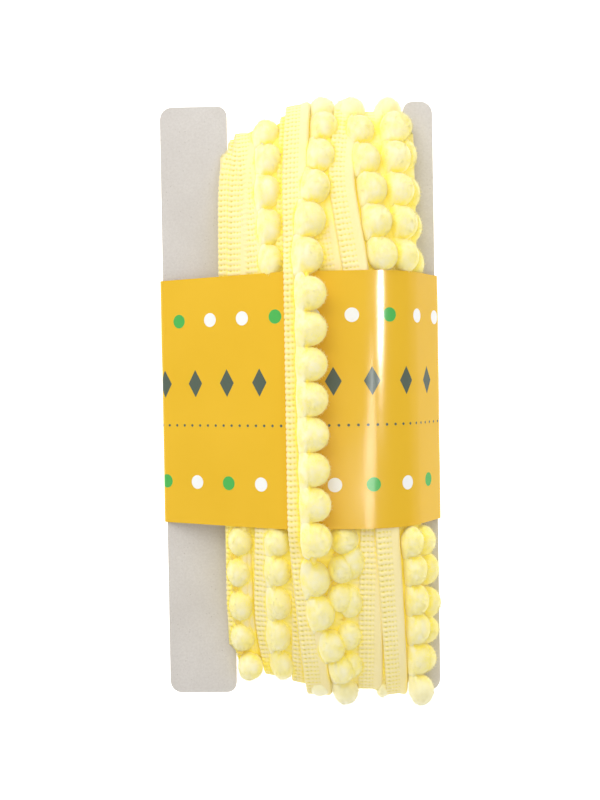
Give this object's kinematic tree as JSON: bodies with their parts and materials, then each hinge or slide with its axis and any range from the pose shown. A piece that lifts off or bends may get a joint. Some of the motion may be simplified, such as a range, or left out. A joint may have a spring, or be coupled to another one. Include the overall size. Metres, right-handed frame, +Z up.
{
  "type": "pompom fringe trim on a card",
  "caption": "Yellow pompom fringe trim wound lengthwise round a notched grey card, its last turn crossing over a taut orange paper band.",
  "frame": {"origin": "middle of the base, on the plane that the flat back of the band rests on", "axes": "+Y along the card and the turns of trim, +X across the card towards the side the pompoms point to, +Z up out of the front"},
  "size_m": [0.0947, 0.2027, 0.0568],
  "materials": {
    "greyboard": "matt speckled greyboard",
    "yellow_yarn": "soft pale yellow knitted braid and brushed pompoms",
    "orange_paper": "satin printed paper"
  },
  "bodies": {
    "root": {"card": "greyboard", "trim": "yellow_yarn", "band": "orange_paper"}
  },
  "joints": []
}
